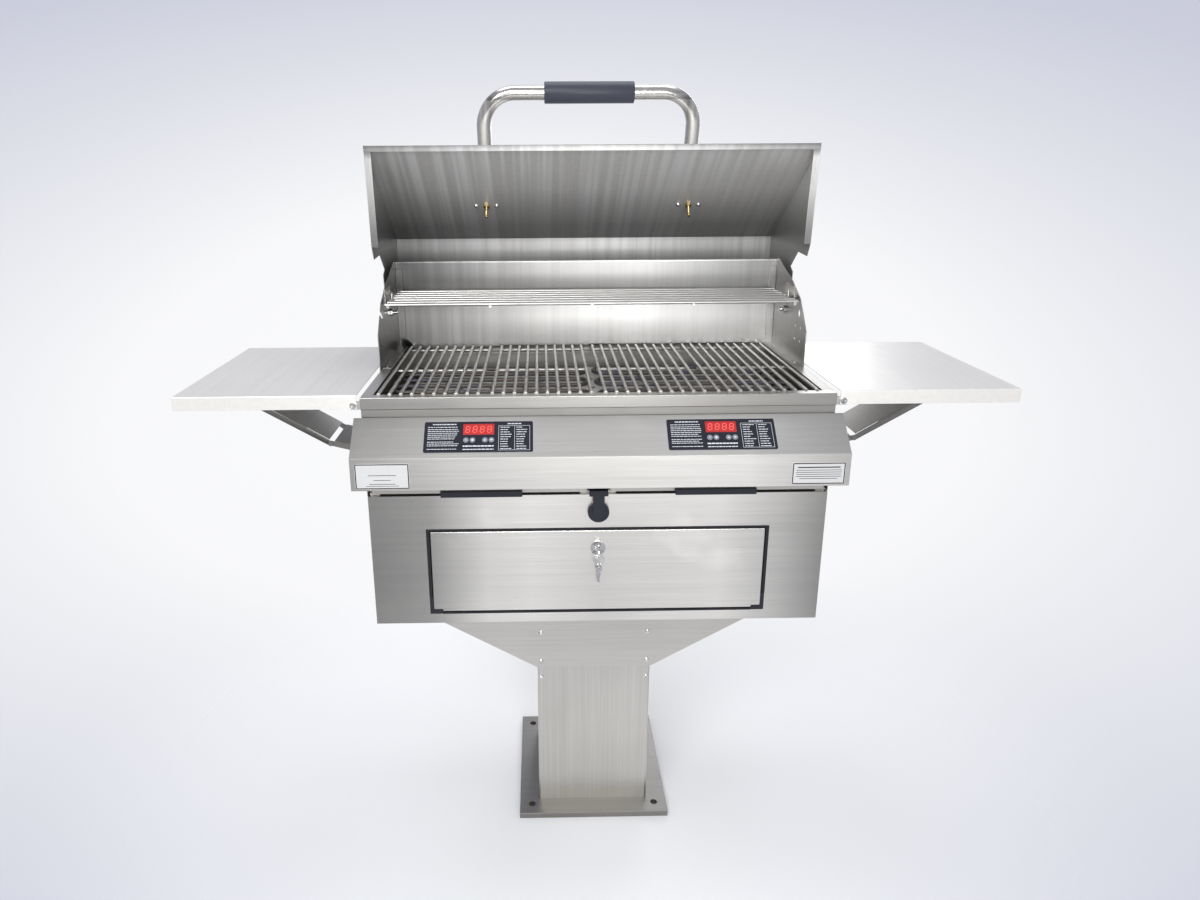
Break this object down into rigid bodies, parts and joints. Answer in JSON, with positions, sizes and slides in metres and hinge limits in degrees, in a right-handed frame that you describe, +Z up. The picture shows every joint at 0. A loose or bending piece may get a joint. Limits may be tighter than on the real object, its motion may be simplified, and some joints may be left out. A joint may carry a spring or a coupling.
{
  "type": "pedestal electric grill",
  "caption": "Stainless electric grill on a square floor-mounted column, with a roll-back lid, folding side shelves, grease trays and an electrics cabinet.",
  "frame": {"origin": "centre of the floor bolt pattern, on the floor", "axes": "+Z up, -Y towards the cook (the control side), +X to the cook's right"},
  "size_m": [1.454, 0.5651, 1.4504],
  "materials": {
    "brushed": "brushed grain",
    "bright": "fine brushed, bright",
    "rods": "drawn and polished",
    "fasteners": "plain bright",
    "sheath": "heat darkened",
    "brass": "plain",
    "black_rubber": "matt",
    "dark_plastic": "fine grained",
    "overlay_film": "satin film",
    "red_digits": "lit digits",
    "key_caps": "plain",
    "plate": "satin, dark edge line"
  },
  "bodies": {
    "frame": {"base_plate": "brushed", "column_shell": "brushed", "saddle_front": "brushed", "saddle_shell": "brushed", "panel_screws": "fasteners", "cabinet_shell": "brushed", "cabinet_front": "brushed", "door_seal": "black_rubber", "door_hinge_blocks": "dark_plastic", "latch_base": "dark_plastic", "tray_runners": "brushed", "console_shell": "brushed", "control_overlays": "overlay_film", "displays": "red_digits", "controller_boxes": "dark_plastic", "terminal_block": "dark_plastic", "cable_gland": "dark_plastic", "firebox_shell": "brushed", "front_rail": "bright", "rear_wall": "bright", "side_wall_left": "bright", "side_wall_right": "bright", "heating_elements": "sheath", "element_brackets": "brushed", "drip_shield": "brushed", "cooking_grates": "rods", "warming_rack": "rods", "rack_brackets": "brushed", "lid_pivot_bolts": "fasteners", "nameplates": "plate", "shelf_brackets": "brushed", "shelf_pivot_screws": "fasteners"},
    "lid": {"lid_skin": "brushed", "lid_ends": "brushed", "handle_tube": "bright", "handle_grip": "dark_plastic", "handle_studs": "brass"},
    "shelf_left": {"shelf_left": "brushed"},
    "shelf_right": {"shelf_right": "brushed"},
    "brace_upper_left": {"brace_upper_left": "brushed"},
    "brace_upper_right": {"brace_upper_right": "brushed"},
    "brace_lower_left": {"brace_lower_left": "brushed"},
    "brace_lower_right": {"brace_lower_right": "brushed"},
    "door": {"door": "brushed", "lock_barrel": "fasteners"},
    "key": {"door_key": "fasteners"},
    "key_ring": {"key_ring": "fasteners"},
    "latch": {"latch_lever": "dark_plastic"},
    "tray_left": {"grease_tray_left": "brushed", "tray_grip_left": "dark_plastic"},
    "tray_right": {"grease_tray_right": "brushed", "tray_grip_right": "dark_plastic"},
    "button_left_on": {"button_left_on": "key_caps"},
    "button_left_off": {"button_left_off": "key_caps"},
    "button_left_up": {"button_left_up": "key_caps"},
    "button_left_down": {"button_left_down": "key_caps"},
    "button_right_on": {"button_right_on": "key_caps"},
    "button_right_off": {"button_right_off": "key_caps"},
    "button_right_up": {"button_right_up": "key_caps"},
    "button_right_down": {"button_right_down": "key_caps"}
  },
  "joints": [
    {"name": "lid_hinge", "type": "hinge", "parent": "frame", "child": "lid", "pos_m": [0, 0.132, 1.007], "axis": [1, 0, 0], "range_deg": [0, 87]},
    {"name": "door_hinge", "type": "hinge", "parent": "frame", "child": "door", "pos_m": [0, -0.185, 0.5262], "axis": [1, 0, 0], "range_deg": [0, 90]},
    {"name": "key_turn", "type": "hinge", "parent": "door", "child": "key", "pos_m": [0, -0.19, 0.6322], "axis": [0, -1, 0], "range_deg": [0, 90]},
    {"name": "key_ring_swing", "type": "hinge", "parent": "key", "child": "key_ring", "pos_m": [0, -0.208, 0.6262], "axis": [1, 0, 0], "range_deg": [-80, 8]},
    {"name": "latch_turn", "type": "hinge", "parent": "frame", "child": "latch", "pos_m": [0, -0.19, 0.7041], "axis": [0, 1, 0], "range_deg": [0, 90]},
    {"name": "shelf_left_hinge", "type": "hinge", "parent": "frame", "child": "shelf_left", "pos_m": [-0.42, 0, 0.9036], "axis": [0, -1, 0], "range_deg": [0, 90]},
    {"name": "brace_upper_left_hinge", "type": "hinge", "parent": "shelf_left", "child": "brace_upper_left", "pos_m": [-0.692, 0, 0.9006], "axis": [0, -1, 0], "range_deg": [0, 34]},
    {"name": "brace_lower_left_hinge", "type": "hinge", "parent": "frame", "child": "brace_lower_left", "pos_m": [-0.418, 0, 0.767], "axis": [0, 1, 0], "range_deg": [0, 69.3]},
    {"name": "tray_left_slide", "type": "slide", "parent": "frame", "child": "tray_left", "axis": [0, -1, 0], "range_m": [0, 0.3]},
    {"name": "shelf_right_hinge", "type": "hinge", "parent": "frame", "child": "shelf_right", "pos_m": [0.42, 0, 0.9036], "axis": [0, 1, 0], "range_deg": [0, 90]},
    {"name": "brace_upper_right_hinge", "type": "hinge", "parent": "shelf_right", "child": "brace_upper_right", "pos_m": [0.692, 0, 0.9006], "axis": [0, 1, 0], "range_deg": [0, 34]},
    {"name": "brace_lower_right_hinge", "type": "hinge", "parent": "frame", "child": "brace_lower_right", "pos_m": [0.418, 0, 0.767], "axis": [0, -1, 0], "range_deg": [0, 69.3]},
    {"name": "tray_right_slide", "type": "slide", "parent": "frame", "child": "tray_right", "axis": [0, -1, 0], "range_m": [0, 0.3]},
    {"name": "button_left_on_press", "type": "slide", "parent": "frame", "child": "button_left_on", "axis": [0, 0.6944, -0.7196], "range_m": [0, 0.0006], "stiffness_N_per_m": 800},
    {"name": "button_left_off_press", "type": "slide", "parent": "frame", "child": "button_left_off", "axis": [0, 0.6944, -0.7196], "range_m": [0, 0.0006], "stiffness_N_per_m": 800},
    {"name": "button_left_up_press", "type": "slide", "parent": "frame", "child": "button_left_up", "axis": [0, 0.6944, -0.7196], "range_m": [0, 0.0006], "stiffness_N_per_m": 800},
    {"name": "button_left_down_press", "type": "slide", "parent": "frame", "child": "button_left_down", "axis": [0, 0.6944, -0.7196], "range_m": [0, 0.0006], "stiffness_N_per_m": 800},
    {"name": "button_right_on_press", "type": "slide", "parent": "frame", "child": "button_right_on", "axis": [0, 0.6944, -0.7196], "range_m": [0, 0.0006], "stiffness_N_per_m": 800},
    {"name": "button_right_off_press", "type": "slide", "parent": "frame", "child": "button_right_off", "axis": [0, 0.6944, -0.7196], "range_m": [0, 0.0006], "stiffness_N_per_m": 800},
    {"name": "button_right_up_press", "type": "slide", "parent": "frame", "child": "button_right_up", "axis": [0, 0.6944, -0.7196], "range_m": [0, 0.0006], "stiffness_N_per_m": 800},
    {"name": "button_right_down_press", "type": "slide", "parent": "frame", "child": "button_right_down", "axis": [0, 0.6944, -0.7196], "range_m": [0, 0.0006], "stiffness_N_per_m": 800}
  ],
  "couplings": [
    {"joint": "brace_upper_left_hinge", "follows": "shelf_left_hinge", "ratio": 0.3777},
    {"joint": "brace_lower_left_hinge", "follows": "shelf_left_hinge", "ratio": 0.7699},
    {"joint": "brace_upper_right_hinge", "follows": "shelf_right_hinge", "ratio": 0.3777},
    {"joint": "brace_lower_right_hinge", "follows": "shelf_right_hinge", "ratio": 0.7699}
  ]
}
